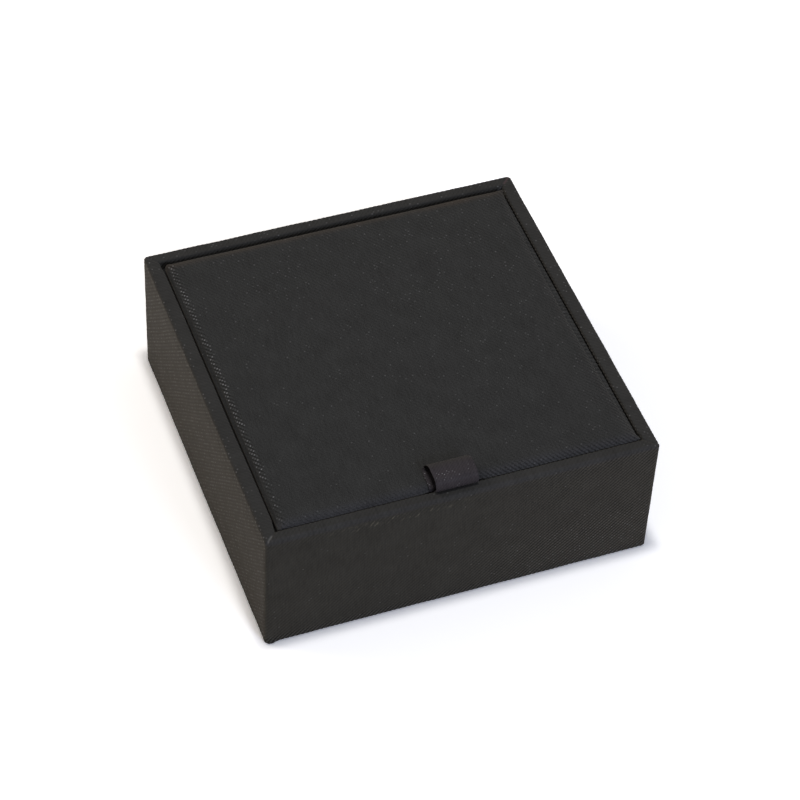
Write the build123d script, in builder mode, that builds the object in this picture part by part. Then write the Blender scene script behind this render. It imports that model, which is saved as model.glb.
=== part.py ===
from build123d import *
import os

# A square jewellery box with an inset, padded lid, all covered in black twill.
# Millimetres, +Z up. The origin is under the middle of the box, and the front faces -Y.

# The box from outside
box_half = 45.0
box_height = 34.0
corner_radius = 1.3
rim_radius = 0.9

# Sheet stock
cloth = 0.35
wall = 2.3
base_sheet_thick = 0.2
base_sheet_half = 42.0
base_board_thick = 2.0
turn_in = 12.0
inside_hem_z = 20.0

# The walls' boards lie one cloth inside the box's surface
board_half = box_half - cloth
board_low = base_sheet_thick + cloth
board_top = box_height - cloth
wall_inside = board_half - wall
opening_half = wall_inside - cloth
base_top = board_low + base_board_thick

# The ledge that the lid rests on
ledge_z = 31.5
strip_thick = 2.0
lining = 0.3
strip_inside = opening_half - strip_thick
lining_half = strip_inside - lining

# The pad in the bottom of the box
pad_gap = 0.3
velvet = 0.6
card = 1.0
pad_half = lining_half - pad_gap
pad_top = 22.6
pad_crown = 0.6
pad_edge = 1.8
ring_slit_length = 26.0
ring_slit_depth = 8.0
ring_slit_width = 2.0
chain_slit_length = 11.0
chain_slit_depth = 5.0
chain_slit_width = 1.0
chain_slit_place = 29.0

# The lid from outside, seen from above: its sides are drawn in between the corners
lid_half = 41.2
lid_front = -41.7
lid_back = 40.5
lid_dip = 0.45
lid_top = 35.0
lid_crown = 0.2
lid_edge = 1.1
lid_board_thick = 1.8
lid_board_low = ledge_z + cloth
lid_board_top = lid_board_low + lid_board_thick

# The padded lining under the lid, which hangs inside the ledge
liner_half = 39.2
liner_board_thick = 1.0
liner_wadding_thick = 0.9
liner_crown = 0.4
liner_edge = 0.5
satin = 0.3

# The ribbon pull: a loop of narrow ribbon whose tails are glued under the lid
ribbon_width = 9.8
ribbon_x = -1.5
ribbon_thick = 0.25
tails_thick = 0.3
tails_clearance = 0.1
tails_back_y = -30.0
tails_gap_y = -41.65
tails_end_y = -42.56
tails_end_z = 34.17
tails_radii = (0.3, 0.9)
loop_front_low = (-43.25, 34.55)
loop_front_high = (-42.5, 37.55)
loop_back_high = (-36.7, 37.45)
loop_back_low = (-37.15, 35.5)
loop_radii = (0.3, 1.6, 1.0, 0.7)

# The cloth hinge across the gap behind the lid
hinge_half_length = 39.0
hinge_thick = 0.3
hinge_lid_low = 31.6
hinge_wall_low = 25.5
hinge_top = 33.5

# Rounded corners are a little wider than the edges that run round them, and a dome is cut
# by a sphere turned so that its seam lies to one side
corner_excess = 0.1
seam_aside = (90, 90, 0)


def square_walls(half, inside, low, high, corner, edge):
    """Four walls round a square well, with their outside corners and top edges rounded."""
    with BuildPart() as walls:
        with BuildSketch(Plane.XY.offset(low)):
            Rectangle(2 * half, 2 * half)
        extrude(amount=high - low)
        fillet(walls.edges().filter_by(Axis.Z), radius=corner)
        with BuildSketch(Plane.XY.offset(low)):
            Rectangle(2 * inside, 2 * inside)
        extrude(amount=high - low, mode=Mode.SUBTRACT)
        fillet(walls.edges().group_by(Axis.Z)[-1], radius=edge)
    return walls.part


def crowned_pad(plane, half, height, crown, edge):
    """A square pad on a plane: its top is a shallow dome, its top edges and corners rounded."""
    dome = (half**2 + crown**2) / (2 * crown)
    with BuildPart() as pad:
        with BuildSketch(plane):
            RectangleRounded(2 * half, 2 * half, edge + corner_excess)
        extrude(amount=height)
        with Locations(plane.from_local_coords(Vector(0, 0, height - dome))):
            Sphere(dome, rotation=seam_aside, mode=Mode.INTERSECT)
        top_face = pad.faces().sort_by(Axis(plane.origin, plane.z_dir))[-1]
        fillet(top_face.edges(), radius=edge)
    return pad.part


def lid_form(inset, low, top, edge):
    """The lid's shape, or the shape a cloth's thickness inside it."""
    right = lid_half - inset
    front = lid_front + inset
    back = lid_back - inset
    middle = (front + back) / 2
    dome = (lid_half**2 + lid_crown**2) / (2 * lid_crown)
    with BuildPart() as form:
        with BuildSketch(Plane.XY.offset(low)) as outline:
            with BuildLine():
                Line((-right, back), (right, back))
                ThreePointArc((right, back), (right - lid_dip, middle), (right, front))
                ThreePointArc((right, front), (0, front + lid_dip), (-right, front))
                ThreePointArc((-right, front), (lid_dip - right, middle), (-right, back))
            make_face()
            fillet(outline.vertices(), radius=edge + corner_excess)
        extrude(amount=top - low)
        with Locations((0, middle, top - dome)):
            Sphere(dome, rotation=seam_aside, mode=Mode.INTERSECT)
        top_face = form.faces().sort_by(Axis.Z)[-1]
        fillet(top_face.edges(), radius=edge)
    return form.part


# Walls: the front and back boards run the full width, and the side boards fit between them
core_corner = corner_radius - cloth
core_edge = rim_radius - cloth
wall_core = square_walls(board_half, wall_inside, board_low, board_top, core_corner, core_edge)
board_middle_z = (board_low + board_top) / 2
wall_middle = (board_half + wall_inside) / 2


def long_wall(y):
    """A wall board that runs the full width of the box."""
    with BuildPart() as board:
        add(wall_core)
        with Locations((0, y, board_middle_z)):
            Box(2 * board_half, wall, board_top - board_low, mode=Mode.INTERSECT)
    return board


def short_wall(x):
    """A wall board that fits between the front and back boards."""
    with BuildPart() as board:
        add(wall_core)
        with Locations((x, 0, board_middle_z)):
            Box(wall, 2 * wall_inside, board_top - board_low, mode=Mode.INTERSECT)
    return board


front_wall_board = long_wall(-wall_middle)
back_wall_board = long_wall(wall_middle)
left_wall_board = short_wall(-wall_middle)
right_wall_board = short_wall(wall_middle)

# Base board, glued between the walls
with BuildPart() as base_board:
    with BuildSketch(Plane.XY.offset(board_low)):
        Rectangle(2 * wall_inside, 2 * wall_inside)
    extrude(amount=base_board_thick)

# Side cloth: up the outside, over the rim and down inside, and turned in under the base
with BuildPart() as side_cloth:
    add(square_walls(box_half, opening_half, base_sheet_thick, box_height, corner_radius, rim_radius))
    add(wall_core, mode=Mode.SUBTRACT)
    with BuildSketch(Plane.XY.offset(board_low)):
        Rectangle(2 * wall_inside, 2 * wall_inside)
    extrude(amount=inside_hem_z - board_low, mode=Mode.SUBTRACT)
    with BuildSketch(Plane.XY.offset(base_sheet_thick)):
        Rectangle(2 * wall_inside, 2 * wall_inside)
        Rectangle(2 * (box_half - turn_in), 2 * (box_half - turn_in), mode=Mode.SUBTRACT)
    extrude(amount=cloth)

# Paper sheet under the base, which hides the turned-in cloth and is what the box stands on
with BuildPart() as base_sheet:
    with BuildSketch():
        Rectangle(2 * base_sheet_half, 2 * base_sheet_half)
    extrude(amount=base_sheet_thick)

# Cloth hinge: a strip glued to the lid's back edge, bridging the gap to the back wall, and
# glued down that wall behind the ledge strip
with BuildPart() as hinge_cloth:
    with BuildSketch(Plane.YZ):
        with BuildLine():
            Polyline(
                (lid_back, hinge_lid_low),
                (lid_back, hinge_top),
                (opening_half, hinge_top),
                (opening_half, hinge_wall_low),
                (opening_half - hinge_thick, hinge_wall_low),
                (opening_half - hinge_thick, hinge_top - hinge_thick),
                (lid_back + hinge_thick, hinge_top - hinge_thick),
                (lid_back + hinge_thick, hinge_lid_low),
                close=True,
            )
        make_face()
    extrude(amount=hinge_half_length, both=True)

# Ledge strips inside the walls: the front and back strips run the full width
strip_top = ledge_z - lining
strip_middle = opening_half - strip_thick / 2


def ledge_strip(x, y, length_x, length_y):
    """An upright strip of board against the inside of a wall."""
    with BuildPart() as strip:
        with BuildSketch(Plane.XY.offset(base_top)):
            with Locations((x, y)):
                Rectangle(length_x, length_y)
        extrude(amount=strip_top - base_top)
    return strip


front_ledge_strip = ledge_strip(0, -strip_middle, 2 * opening_half, strip_thick)
full_back_strip = ledge_strip(0, strip_middle, 2 * opening_half, strip_thick)
left_ledge_strip = ledge_strip(-strip_middle, 0, strip_thick, 2 * strip_inside)
right_ledge_strip = ledge_strip(strip_middle, 0, strip_thick, 2 * strip_inside)

# The back strip is rebated for the cloth hinge
with BuildPart() as back_ledge_strip:
    add(full_back_strip.part)
    add(hinge_cloth.part, mode=Mode.SUBTRACT)

# Lining over the ledge's top and down the strips' inner faces, cut back for the cloth hinge
with BuildPart() as ledge_lining:
    with BuildSketch(Plane.XY.offset(base_top)):
        Rectangle(2 * strip_inside, 2 * strip_inside)
    extrude(amount=ledge_z - base_top)
    with BuildSketch(Plane.XY.offset(strip_top)):
        Rectangle(2 * opening_half, 2 * opening_half)
    extrude(amount=lining)
    with BuildSketch(Plane.XY.offset(base_top)):
        Rectangle(2 * lining_half, 2 * lining_half)
    extrude(amount=ledge_z - base_top, mode=Mode.SUBTRACT)
    add(hinge_cloth.part, mode=Mode.SUBTRACT)


def pad_slits(margin):
    """The room in the pad's slits, wider and deeper all round by a margin."""
    with BuildPart() as slits:
        with BuildSketch(Plane.XY.offset(pad_top)):
            SlotOverall(ring_slit_length + 2 * margin, ring_slit_width + 2 * margin)
        extrude(amount=-ring_slit_depth - margin)
        with BuildSketch(Plane.XY.offset(pad_top)):
            for side in (-1, 1):
                with Locations(Location((side * chain_slit_place, chain_slit_place), -45 * side)):
                    SlotOverall(chain_slit_length + 2 * margin, chain_slit_width + 2 * margin)
        extrude(amount=-chain_slit_depth - margin)
    return slits.part


# Card under the pad
with BuildPart() as insert_card:
    with BuildSketch(Plane.XY.offset(base_top)):
        Rectangle(2 * (pad_half - velvet), 2 * (pad_half - velvet))
    extrude(amount=card)

# Foam pad, with a slit for a ring in the middle and two for a chain near the back corners
card_top = base_top + card
with BuildPart() as insert_foam:
    foam_height = pad_top - velvet - card_top
    foam_edge = pad_edge - velvet
    add(crowned_pad(Plane.XY.offset(card_top), pad_half - velvet, foam_height, pad_crown, foam_edge))
    add(pad_slits(velvet), mode=Mode.SUBTRACT)

# Velvet over the foam, down its sides and into its slits
with BuildPart() as insert_velvet:
    add(crowned_pad(Plane.XY.offset(base_top), pad_half, pad_top - base_top, pad_crown, pad_edge))
    add(pad_slits(0), mode=Mode.SUBTRACT)
    add(insert_foam.part, mode=Mode.SUBTRACT)
    add(insert_card.part, mode=Mode.SUBTRACT)

# Lid: board below, padding above it, and the cloth cover a cloth's thickness larger all round
lid_core = lid_form(cloth, lid_board_low, lid_top - cloth, lid_edge - cloth)

with BuildPart() as lid_board:
    add(lid_core)
    split(bisect_by=Plane.XY.offset(lid_board_top), keep=Keep.BOTTOM)

with BuildPart() as lid_padding:
    add(lid_core)
    split(bisect_by=Plane.XY.offset(lid_board_top), keep=Keep.TOP)

# Lid cloth, open underneath inside its turned-in edge and slit there for the ribbon's tails
with BuildPart() as lid_cloth:
    add(lid_form(0, ledge_z, lid_top, lid_edge))
    add(lid_core, mode=Mode.SUBTRACT)
    with BuildSketch(Plane.XY.offset(ledge_z)):
        Rectangle(2 * (lid_half - turn_in), 2 * (lid_half - turn_in))
        with Locations((ribbon_x, lid_front / 2)):
            Rectangle(ribbon_width + 2 * tails_clearance, -lid_front)
    extrude(amount=cloth, mode=Mode.SUBTRACT)

# Lining under the lid: a board, a thin wadding crowned downwards, and satin over both
liner_under = Plane(origin=(0, 0, ledge_z), x_dir=(1, 0, 0), z_dir=(0, 0, -1))
liner_height = liner_board_thick + liner_wadding_thick + satin
liner_core = crowned_pad(
    liner_under, liner_half - satin, liner_height - satin, liner_crown, liner_edge - satin
)

with BuildPart() as lid_liner_board:
    add(liner_core)
    split(bisect_by=Plane.XY.offset(ledge_z - liner_board_thick), keep=Keep.TOP)

with BuildPart() as lid_liner_wadding:
    add(liner_core)
    split(bisect_by=Plane.XY.offset(ledge_z - liner_board_thick), keep=Keep.BOTTOM)

with BuildPart() as lid_liner_satin:
    add(crowned_pad(liner_under, liner_half, liner_height, liner_crown, liner_edge))
    add(liner_core, mode=Mode.SUBTRACT)

# Ribbon's tails: glued under the lid's board, up the front gap and forward over the rim
ribbon_plane = Plane.YZ.offset(ribbon_x)
tails_z = lid_board_low - tails_thick / 2

with BuildPart() as pull_ribbon_root:
    with BuildSketch(ribbon_plane):
        with BuildLine():
            FilletPolyline(
                (tails_back_y, tails_z),
                (tails_gap_y, tails_z),
                (tails_gap_y, tails_end_z),
                (tails_end_y, tails_end_z),
                radius=tails_radii,
            )
        trace(line_width=tails_thick)
    extrude(amount=ribbon_width / 2, both=True)

# Ribbon's loop: up over the rim, back over the lid and forward again along the lid's top
with BuildPart() as pull_ribbon:
    with BuildSketch(ribbon_plane):
        with BuildLine():
            FilletPolyline(
                loop_front_low,
                loop_front_high,
                loop_back_high,
                loop_back_low,
                radius=loop_radii,
                close=True,
            )
        trace(line_width=ribbon_thick)
    extrude(amount=ribbon_width / 2, both=True)

pieces = {
    "base_board": base_board,
    "front_wall_board": front_wall_board,
    "back_wall_board": back_wall_board,
    "left_wall_board": left_wall_board,
    "right_wall_board": right_wall_board,
    "side_cloth": side_cloth,
    "base_sheet": base_sheet,
    "front_ledge_strip": front_ledge_strip,
    "back_ledge_strip": back_ledge_strip,
    "left_ledge_strip": left_ledge_strip,
    "right_ledge_strip": right_ledge_strip,
    "ledge_lining": ledge_lining,
    "insert_card": insert_card,
    "insert_foam": insert_foam,
    "insert_velvet": insert_velvet,
    "hinge_cloth": hinge_cloth,
    "lid_board": lid_board,
    "lid_padding": lid_padding,
    "lid_cloth": lid_cloth,
    "lid_liner_board": lid_liner_board,
    "lid_liner_wadding": lid_liner_wadding,
    "lid_liner_satin": lid_liner_satin,
    "pull_ribbon_root": pull_ribbon_root,
    "pull_ribbon": pull_ribbon,
}

os.makedirs("parts", exist_ok=True)
for name, piece in pieces.items():
    piece.part.label = name
    export_step(piece.part, f"parts/{name}.step")
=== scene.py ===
import bpy
import bmesh
import math
import numpy as np
from mathutils import Matrix, Vector, noise


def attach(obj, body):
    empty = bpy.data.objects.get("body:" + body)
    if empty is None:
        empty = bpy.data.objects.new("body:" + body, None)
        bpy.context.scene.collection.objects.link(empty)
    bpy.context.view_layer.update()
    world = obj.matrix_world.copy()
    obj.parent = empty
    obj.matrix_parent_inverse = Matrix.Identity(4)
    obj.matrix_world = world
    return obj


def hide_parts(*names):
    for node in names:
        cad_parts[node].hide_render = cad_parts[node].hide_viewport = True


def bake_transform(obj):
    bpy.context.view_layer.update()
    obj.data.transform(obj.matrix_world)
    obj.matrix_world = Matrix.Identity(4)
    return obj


# The looks of a square jewellery box covered in black twill, with an inset padded lid.
# Sizes are in millimetres and turned to metres where a mesh is made.

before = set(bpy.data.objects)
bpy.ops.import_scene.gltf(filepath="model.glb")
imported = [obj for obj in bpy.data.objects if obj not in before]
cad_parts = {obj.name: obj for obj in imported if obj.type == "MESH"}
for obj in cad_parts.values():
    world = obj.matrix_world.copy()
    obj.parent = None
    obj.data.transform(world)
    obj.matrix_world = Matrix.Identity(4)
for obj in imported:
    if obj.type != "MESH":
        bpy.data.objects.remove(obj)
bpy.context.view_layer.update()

mm = 0.001

# Sizes of the box, as in the part
box_half = 45.0
box_height = 34.0
corner_radius = 0.9
rim_radius = 0.75
inner_rim_radius = 0.45
wall = 3.0
cloth = 0.35
base_sheet_thick = 0.2
turn_in = 12.0
inside_hem_z = 20.0
opening_half = box_half - wall
ledge_z = 31.5
strip_inside = 40.0
lining = 0.3
lining_half = strip_inside - lining
base_top = 2.55

# Sizes of the lid
lid_half = 41.2
lid_front = -41.85
lid_back = 40.55
lid_top = 35.0
lid_crown = 0.2
lid_board_low = ledge_z + cloth
lid_board_top = lid_board_low + 1.8
liner_half = 39.2
liner_board_low = ledge_z - 1.0
liner_low = 29.3
liner_crown = 0.4
satin = 0.3

# Sizes of the pad in the box
pad_half = 39.4
pad_top = 22.6
pad_crown = 0.6
pad_edge = 1.8
velvet = 0.6
card_top = base_top + 1.0

# Weaves: how many ribs there are to a millimetre along the cloth and up it, and how many
# rows of yarn floats across the ribs. A whole number of ribs goes round the box.
twill_ribs_round = 318
ribs_along = twill_ribs_round / (8 * box_half)
side_ribs = (ribs_along, -ribs_along)
side_floats = (ribs_along, 1.09)
lid_ribs = (0.93, 0.756)
lid_floats = (-0.87, 1.09)
twill_relief = 0.09
ribbon_ribs = (1.29, 1.29)
ribbon_floats = (-1.29, 1.29)
ribbon_relief = 0.04
# Other patterns on cloth, in millimetres but for the fibres. Those are finer in the real
# cloth, and are drawn as a grain coarse enough to show.
fibres_per_mm = 4.8
slub_width = 1 / 2.6
slub_length = 4.0
blotch_size = 6.25
tuft_spacing = 0.2
brushed_patch = 12.5

weave_map = "weave"
thread_map = "thread"
tone_map = "tone"
clear_map = "clear"
glint_map = "glint"

# Each straight side of the box and the lid has this many coarse columns, and each coarse
# column is as wide as this many fine ones where the ribs are modelled
side_columns = 79
corner_columns = 4
fine_columns = 4


def linear(colour):
    """An sRGB hex colour as linear values."""
    parts = [int(colour[i:i + 2], 16) / 255 for i in (1, 3, 5)]
    return [c / 12.92 if c <= 0.04045 else ((c + 0.055) / 1.055) ** 2.4 for c in parts] + [1.0]


def add_node(tree, kind, links=None, **settings):
    """Adds a node. Its settings are attributes, and links gives its inputs values, sockets, or
    nodes whose first output is meant."""
    new = tree.nodes.new(kind)
    for name, value in settings.items():
        setattr(new, name, value)
    for key, value in (links or {}).items():
        if isinstance(value, bpy.types.Node):
            value = value.outputs[0]
        if isinstance(value, bpy.types.NodeSocket):
            tree.links.new(value, new.inputs[key])
        else:
            new.inputs[key].default_value = value
    return new


def smooth(value, low, high):
    """0 below low and 1 above high, with a smooth rise between."""
    share = min(max((value - low) / (high - low), 0.0), 1.0)
    return share * share * (3 - 2 * share)


def ripple(x, y, z, size, seed=0.0):
    """Soft unevenness between about -1 and 1, whose waves are about as long as size."""
    return noise.noise(Vector((x / size + seed, y / size - seed, z / size + 2 * seed)))


# Materials


def new_material(name, **constants):
    """A material with a Principled shader, and its constants set on the shader's own sockets."""
    material = bpy.data.materials.new(name)
    material.use_nodes = True
    tree = material.node_tree
    shader = tree.nodes["Principled BSDF"]
    for key, value in constants.items():
        shader.inputs[key.replace("_", " ")].default_value = value
    return material, tree, shader


def woven(name, ribs, floats, relief, dark, light, glint, hairy=0.3, **constants):
    """A ribbed cloth: slanting ribs of short yarn floats, with slubs, blotches and painted glints,
    and the piece's tone, which also holds painted light and shade. The hairier it is, the stronger
    is its finest grain."""
    material, tree, shader = new_material(name, **constants)
    place = add_node(tree, "ShaderNodeUVMap", uv_map=weave_map)
    clear = add_node(tree, "ShaderNodeAttribute", attribute_name=clear_map).outputs["Fac"]
    tone = add_node(tree, "ShaderNodeAttribute", attribute_name=tone_map).outputs["Color"]
    share_lit = add_node(tree, "ShaderNodeAttribute", attribute_name=glint_map).outputs["Fac"]

    # Crests of the ribs and of the floats that cross them: 1 on a crest and 0 between
    counts = []
    crests = []
    for step in (ribs, floats):
        dot = add_node(
            tree, "ShaderNodeVectorMath", {0: place, 1: (*step, 0.0)}, operation="DOT_PRODUCT"
        )
        count = dot.outputs["Value"]
        turn = add_node(tree, "ShaderNodeMath", {0: count, 1: math.pi}, operation="MULTIPLY")
        wave = add_node(tree, "ShaderNodeMath", {0: turn}, operation="COSINE")
        counts.append(count)
        crests.append(add_node(tree, "ShaderNodeMath", {0: wave}, operation="ABSOLUTE"))
    both = add_node(
        tree, "ShaderNodeMath", {0: crests[1], 1: 0.25, 2: crests[0]}, operation="MULTIPLY_ADD"
    )
    # A crest is 0.64 high on average, so this stands evenly about 0
    centred = add_node(tree, "ShaderNodeMath", {0: both, 1: 0.8}, operation="SUBTRACT")
    ribbing = add_node(tree, "ShaderNodeMath", {0: centred, 1: clear}, operation="MULTIPLY")

    # Fibres too fine to see one by one, drawn as grain of about 0.2 mm
    fibres = add_node(
        tree, "ShaderNodeTexNoise", {"Vector": place, "Scale": fibres_per_mm, "Detail": 2.0}
    )
    rough_height = add_node(
        tree, "ShaderNodeMath", {0: fibres, 1: 0.1, 2: ribbing}, operation="MULTIPLY_ADD"
    )
    bump = add_node(
        tree,
        "ShaderNodeBump",
        {"Strength": 1.0, "Distance": relief * mm, "Height": rough_height},
    )

    # Yarns are never quite alike: slubs a few millimetres long, and blotches of dye
    slub_place = add_node(
        tree,
        "ShaderNodeMapping",
        {"Vector": place, "Scale": (1 / slub_width, 1 / slub_length, 1.0)},
    )
    slubs = add_node(tree, "ShaderNodeTexNoise", {"Vector": slub_place, "Scale": 1.0})
    blotches = add_node(
        tree, "ShaderNodeTexNoise", {"Vector": place, "Scale": 1 / blotch_size, "Detail": 3.0}
    )
    # The noises are 0.5 on average, so the last value keeps a hairy cloth as dark as another
    share = add_node(
        tree,
        "ShaderNodeMath",
        {0: ribbing, 1: 0.9, 2: (0.3 - hairy) / 2},
        operation="MULTIPLY_ADD",
    )
    for part, weight in ((fibres, hairy), (slubs, 0.4), (blotches, 0.3)):
        share = add_node(
            tree, "ShaderNodeMath", {0: part, 1: weight, 2: share}, operation="MULTIPLY_ADD"
        )
    colour = add_node(
        tree,
        "ShaderNodeMix",
        {"Factor": share, 6: linear(dark), 7: linear(light)},
        data_type="RGBA",
    )

    # The piece's own tone multiplies the colour: rubbed folds are lighter, and the tone also holds
    # painted light and painted shade on edges, sides and in the gaps
    toned = add_node(
        tree,
        "ShaderNodeMix",
        {"Factor": 1.0, 6: colour.outputs[2], 7: tone},
        data_type="RGBA",
        blend_type="MULTIPLY",
        clamp_result=False,
    )

    # Painted highlights: here and there a float is drawn as if it caught the light, a pale spot of
    # about 0.25 mm mixed into the colour, its strength drawn by lot from the float's numbers. The
    # piece's share of glints says how many do.
    numbers = [add_node(tree, "ShaderNodeMath", {0: count}, operation="ROUND") for count in counts]
    cell = add_node(tree, "ShaderNodeCombineXYZ", {0: numbers[0], 1: numbers[1]})
    chance = add_node(tree, "ShaderNodeTexWhiteNoise", {"Vector": cell}, noise_dimensions="2D")
    rarity = add_node(tree, "ShaderNodeMath", {0: 1.0, 1: share_lit}, operation="SUBTRACT")
    drawn = add_node(
        tree, "ShaderNodeMapRange", {"Value": chance, "From Min": rarity, "From Max": 1.001}
    )
    crossing = add_node(
        tree, "ShaderNodeMath", {0: crests[0], 1: crests[1]}, operation="MULTIPLY"
    )
    spot = add_node(tree, "ShaderNodeMath", {0: crossing, 1: 6.0}, operation="POWER")
    lit_spot = add_node(tree, "ShaderNodeMath", {0: spot, 1: drawn}, operation="MULTIPLY")
    level = add_node(
        tree,
        "ShaderNodeMath",
        {0: share_lit, 1: 0.8 * glint, 2: 0.2 * glint},
        operation="MULTIPLY_ADD",
    )
    painted_glint = add_node(tree, "ShaderNodeMath", {0: lit_spot, 1: level}, operation="MULTIPLY")
    with_painted_glints = add_node(
        tree,
        "ShaderNodeMix",
        {"Factor": painted_glint, 6: toned.outputs[2], 7: linear("#dcdcde")},
        data_type="RGBA",
    )
    tree.links.new(with_painted_glints.outputs[2], shader.inputs["Base Color"])
    tree.links.new(bump.outputs["Normal"], shader.inputs["Normal"])
    return material


# Black twill: spun viscose book cloth. Dull, with fine slanting ribs. Stray fibres stand off
# it, which catch a warm light where it is seen at a slant.
twill_look = {
    "Roughness": 0.5,
    "Specular_IOR_Level": 0.004,
    "Sheen_Weight": 0.105,
    "Sheen_Roughness": 0.5,
    "Sheen_Tint": linear("#fff3e1"),
}
side_twill = woven(
    "black_twill_sides",
    side_ribs,
    side_floats,
    twill_relief,
    "#141414",
    "#3e3e3d",
    0.37,
    **twill_look,
)
lid_twill = woven(
    "black_twill_lid",
    lid_ribs,
    lid_floats,
    twill_relief,
    "#131313",
    "#3b3c3c",
    0.37,
    hairy=1.5,
    **twill_look,
)

# Black ribbon: woven polyester, finer and shinier than the twill, with a purplish cast
ribbon_weave = woven(
    "black_ribbon_weave",
    ribbon_ribs,
    ribbon_floats,
    ribbon_relief,
    "#151416",
    "#433f42",
    0.6,
    Roughness=0.42,
    Specular_IOR_Level=0.03,
)

# Black lining: thin plain cotton, flat and dull
lining_weave = woven(
    "black_cotton_lining",
    (2.0, 0.0),
    (0.0, 2.0),
    0.04,
    "#0e0e0e",
    "#272727",
    0.05,
    Roughness=0.75,
    Specular_IOR_Level=0.2,
)

# Black satin: long floats that lie side by side, so it is smooth and glossy along the yarn
satin_weave = woven(
    "black_satin_weave",
    (2.4, 0.3),
    (0.2, 0.7),
    0.012,
    "#101011",
    "#2a2a2c",
    0.05,
    Roughness=0.38,
    Specular_IOR_Level=0.32,
)


def make_velvet():
    """Black velvet: a short upright pile, darkest face on and paler at a slant, brushed in
    patches."""
    material, tree, shader = new_material(
        "black_velvet_pile",
        Roughness=0.9,
        Specular_IOR_Level=0.1,
        Sheen_Weight=0.5,
        Sheen_Roughness=0.35,
    )
    place = add_node(tree, "ShaderNodeUVMap", uv_map=weave_map)
    tufts = add_node(
        tree, "ShaderNodeTexVoronoi", {"Vector": place, "Scale": 1 / tuft_spacing}
    )
    patches = add_node(
        tree, "ShaderNodeTexNoise", {"Vector": place, "Scale": 1 / brushed_patch, "Detail": 2.0}
    )
    shade = add_node(
        tree, "ShaderNodeMath", {0: tufts, 1: -0.8, 2: patches}, operation="MULTIPLY_ADD"
    )
    share = add_node(
        tree, "ShaderNodeMapRange", {"Value": shade, "From Min": -0.1, "From Max": 0.6}
    )
    colour = add_node(
        tree,
        "ShaderNodeMix",
        {"Factor": share, 6: linear("#08080a"), 7: linear("#1d1c1e")},
        data_type="RGBA",
    )
    bump = add_node(
        tree, "ShaderNodeBump", {"Strength": 0.7, "Distance": 0.1 * mm, "Height": tufts}
    )
    tree.links.new(colour.outputs[2], shader.inputs["Base Color"])
    tree.links.new(bump.outputs["Normal"], shader.inputs["Normal"])
    return material


def grainy(name, dark, light, grain, fleck, relief, **constants):
    """A solid, unwoven stock: a fine grain and larger flecks, on the object's coordinates."""
    material, tree, shader = new_material(name, **constants)
    place = add_node(tree, "ShaderNodeTexCoord").outputs["Object"]
    fine, flecks = [
        add_node(
            tree,
            "ShaderNodeTexNoise",
            {"Vector": place, "Scale": 1 / (size * mm), "Detail": detail},
        )
        for size, detail in ((grain, 3.0), (fleck, 1.0))
    ]
    both = add_node(tree, "ShaderNodeMath", {0: flecks, 1: 0.6, 2: fine}, operation="MULTIPLY_ADD")
    share = add_node(
        tree, "ShaderNodeMapRange", {"Value": both, "From Min": 0.55, "From Max": 1.05}
    )
    colour = add_node(
        tree,
        "ShaderNodeMix",
        {"Factor": share, 6: linear(dark), 7: linear(light)},
        data_type="RGBA",
    )
    bump = add_node(
        tree, "ShaderNodeBump", {"Strength": 0.6, "Distance": relief * mm, "Height": fine}
    )
    tree.links.new(colour.outputs[2], shader.inputs["Base Color"])
    tree.links.new(bump.outputs["Normal"], shader.inputs["Normal"])
    return material


velvet_pile = make_velvet()

# Grey board: pressed waste paper, matt and mottled with darker fibres
grey_board = grainy(
    "pressed_grey_board", "#8a8780", "#aba79e", 0.3, 1.6, 0.03, Roughness=0.85
)
# Black paper: calendered, smoother than the board
black_paper = grainy(
    "calendered_black_paper", "#2b2b2b", "#383838", 0.15, 2.5, 0.01, Roughness=0.6
)
# Grey foam: soft polyurethane, cut from a block, so its cells are open at the surface
grey_foam = grainy("cut_grey_foam", "#65666a", "#84858a", 0.5, 3.0, 0.15, Roughness=0.9)


# Meshes


class Skin:
    """A mesh made row by row. Rows run round the piece, counter-clockwise from above."""

    def __init__(self):
        self.points = []
        self.threads = []
        self.corners = []

    def row(self, points, threads):
        """Adds a row. A thread is a point's place on the flat cloth and its depth of relief.
        There is one thread more than points, for the point where the row closes."""
        first = len(self.points)
        self.points.extend(points)
        self.threads.extend(threads[:len(points)])
        return [(first + i % len(points), thread[:2]) for i, thread in enumerate(threads)]

    def join(self, lower, upper):
        """Fills the band between two rows, one of which may have finer columns."""
        count = min(len(lower), len(upper)) - 1
        low_step = (len(lower) - 1) // count
        high_step = (len(upper) - 1) // count
        for i in range(count):
            low = lower[i * low_step:(i + 1) * low_step + 1]
            high = upper[i * high_step:(i + 1) * high_step + 1]
            self.corners.append(low + high[::-1])

    def join_all(self, rows):
        """Fills the band between each row and the next."""
        for lower, upper in zip(rows, rows[1:]):
            self.join(lower, upper)

    def grid(self, rows, upward=True):
        """Fills between open rows of equal length, facing up or down."""
        for near, far in zip(rows, rows[1:]):
            for i in range(len(near) - 1):
                face = [near[i], near[i + 1], far[i + 1], far[i]]
                self.corners.append(face if upward else face[::-1])

    def build(self, name):
        """Makes the object, with its weave as a UV map and its thread as an attribute."""
        mesh = bpy.data.meshes.new(name)
        faces = [[corner[0] for corner in face] for face in self.corners]
        mesh.from_pydata([Vector(point) * mm for point in self.points], [], faces)
        layer = mesh.uv_layers.new(name=weave_map)
        flat = [value for face in self.corners for corner in face for value in corner[1]]
        layer.uv.foreach_set("vector", flat)
        thread = mesh.attributes.new(thread_map, "FLOAT_VECTOR", "POINT")
        thread.data.foreach_set("vector", [value for one in self.threads for value in one])
        weld(mesh)
        piece = bpy.data.objects.new(name, mesh)
        bpy.context.scene.collection.objects.link(piece)
        return piece


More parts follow.
